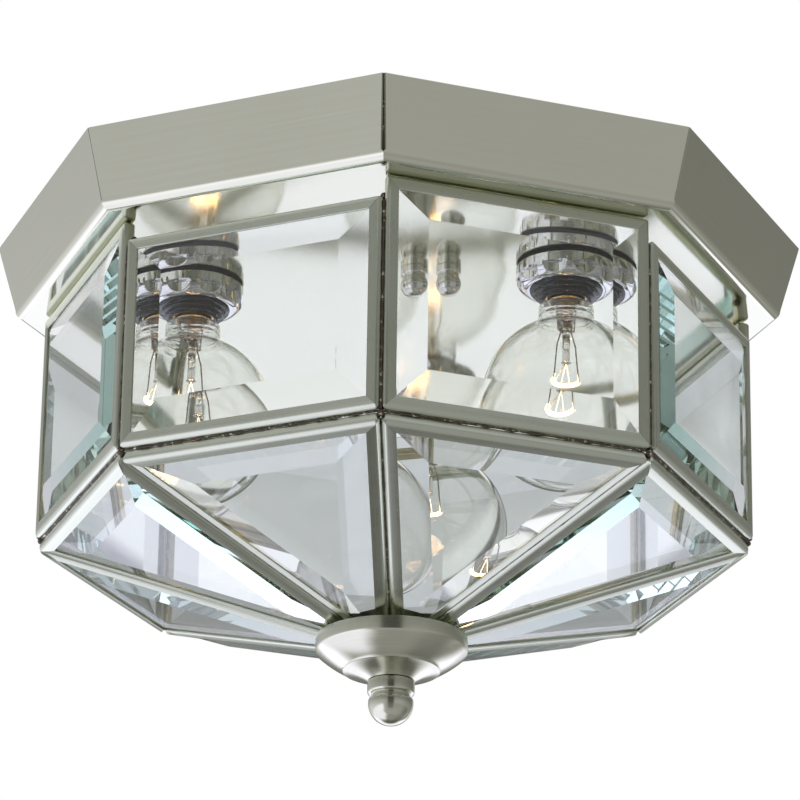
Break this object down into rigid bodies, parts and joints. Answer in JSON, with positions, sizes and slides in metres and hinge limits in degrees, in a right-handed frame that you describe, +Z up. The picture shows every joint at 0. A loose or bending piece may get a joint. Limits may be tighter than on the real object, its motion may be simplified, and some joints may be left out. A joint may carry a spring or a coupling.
{
  "type": "outdoor flush mount light",
  "caption": "Octagonal ceiling light: a folded nickel pan over a soldered cage of bevelled glass panes, with screw-in globe lamps and a ball finial that lets the cage down.",
  "frame": {"origin": "centre of the ceiling face, midway between the box screw holes of the mounting strap", "axes": "+Z up into the ceiling, +X along the line of the box screw holes, +Y along the line of the studs"},
  "size_m": [0.2414, 0.2414, 0.1641],
  "materials": {
    "pan_nickel": "satin brushed nickel, grain along the flaps",
    "channel_nickel": "satin brushed nickel drawn channel",
    "spun_nickel": "satin spun nickel, fine turned rings",
    "clear_glass": "clear bevelled plate glass, polished",
    "solder": "dull uneven solder with dark flux",
    "zinc_steel": "zinc plated steel",
    "phenolic": "moulded black phenolic, satin",
    "polished_ring": "polished nickel plate",
    "gasket_rubber": "matt black rubber",
    "contact_brass": "bright rolled brass",
    "lamp_contact": "black glass insulator with a solder button",
    "lamp_glass": "thin clear blown glass",
    "lamp_filament": "clear glass stem, nickel leads and a glowing coil"
  },
  "bodies": {
    "pan": {"ceiling_pan": "pan_nickel", "mounting_strap": "zinc_steel", "strap_studs": "zinc_steel", "ball_nuts": "spun_nickel", "center_rod": "zinc_steel", "rod_nuts": "zinc_steel", "socket_rings": "polished_ring", "socket_gaskets": "gasket_rubber", "socket_contacts": "contact_brass", "socket_body_1": "phenolic", "socket_body_2": "phenolic", "socket_body_3": "phenolic"},
    "cage": {"tall_frame_1": "channel_nickel", "tall_frame_2": "channel_nickel", "tall_frame_3": "channel_nickel", "tall_frame_4": "channel_nickel", "short_frame_1": "channel_nickel", "short_frame_2": "channel_nickel", "short_frame_3": "channel_nickel", "short_frame_4": "channel_nickel", "bottom_frame_1": "channel_nickel", "bottom_frame_2": "channel_nickel", "bottom_frame_3": "channel_nickel", "bottom_frame_4": "channel_nickel", "bottom_frame_5": "channel_nickel", "bottom_frame_6": "channel_nickel", "bottom_frame_7": "channel_nickel", "bottom_frame_8": "channel_nickel", "tall_pane_1": "clear_glass", "tall_pane_2": "clear_glass", "tall_pane_3": "clear_glass", "tall_pane_4": "clear_glass", "short_pane_1": "clear_glass", "short_pane_2": "clear_glass", "short_pane_3": "clear_glass", "short_pane_4": "clear_glass", "bottom_pane_1": "clear_glass", "bottom_pane_2": "clear_glass", "bottom_pane_3": "clear_glass", "bottom_pane_4": "clear_glass", "bottom_pane_5": "clear_glass", "bottom_pane_6": "clear_glass", "bottom_pane_7": "clear_glass", "bottom_pane_8": "clear_glass", "solder_joints": "solder", "hub_plate": "channel_nickel"},
    "cap": {"bottom_cap": "spun_nickel"},
    "finial": {"finial": "spun_nickel"},
    "lamp_1_seat": {"bulb_contact_1": "lamp_contact"},
    "lamp_1": {"bulb_glass_1": "lamp_glass", "bulb_base_1": "contact_brass", "bulb_filament_1": "lamp_filament"},
    "lamp_2_seat": {"bulb_contact_2": "lamp_contact"},
    "lamp_2": {"bulb_glass_2": "lamp_glass", "bulb_base_2": "contact_brass", "bulb_filament_2": "lamp_filament"},
    "lamp_3_seat": {"bulb_contact_3": "lamp_contact"},
    "lamp_3": {"bulb_glass_3": "lamp_glass", "bulb_base_3": "contact_brass", "bulb_filament_3": "lamp_filament"}
  },
  "joints": [
    {"name": "cage_lower", "type": "slide", "parent": "pan", "child": "cage", "axis": [0, 0, -1], "range_m": [0, 0.125]},
    {"name": "finial_drop", "type": "slide", "parent": "cage", "child": "cap", "axis": [0, 0, -1], "range_m": [0, 0.01016]},
    {"name": "finial_turn", "type": "hinge", "parent": "cap", "child": "finial", "pos_m": [0, 0, -0.15], "axis": [0, 0, -1], "range_deg": [0, 2900]},
    {"name": "lamp_1_drop", "type": "slide", "parent": "pan", "child": "lamp_1_seat", "axis": [0, 0, -1], "range_m": [0, 0.01016]},
    {"name": "lamp_1_turn", "type": "hinge", "parent": "lamp_1_seat", "child": "lamp_1", "pos_m": [0.034, -0.05889, -0.04], "axis": [0, 0, -1], "range_deg": [0, 1450]},
    {"name": "lamp_2_drop", "type": "slide", "parent": "pan", "child": "lamp_2_seat", "axis": [0, 0, -1], "range_m": [0, 0.01016]},
    {"name": "lamp_2_turn", "type": "hinge", "parent": "lamp_2_seat", "child": "lamp_2", "pos_m": [0.034, 0.05889, -0.04], "axis": [0, 0, -1], "range_deg": [0, 1450]},
    {"name": "lamp_3_drop", "type": "slide", "parent": "pan", "child": "lamp_3_seat", "axis": [0, 0, -1], "range_m": [0, 0.01016]},
    {"name": "lamp_3_turn", "type": "hinge", "parent": "lamp_3_seat", "child": "lamp_3", "pos_m": [-0.068, 0, -0.04], "axis": [0, 0, -1], "range_deg": [0, 1450]}
  ],
  "couplings": [
    {"joint": "finial_turn", "follows": "finial_drop", "rad_per_m": 4947.4},
    {"joint": "lamp_1_turn", "follows": "lamp_1_drop", "rad_per_m": 2473.7},
    {"joint": "lamp_2_turn", "follows": "lamp_2_drop", "rad_per_m": 2473.7},
    {"joint": "lamp_3_turn", "follows": "lamp_3_drop", "rad_per_m": 2473.7}
  ]
}
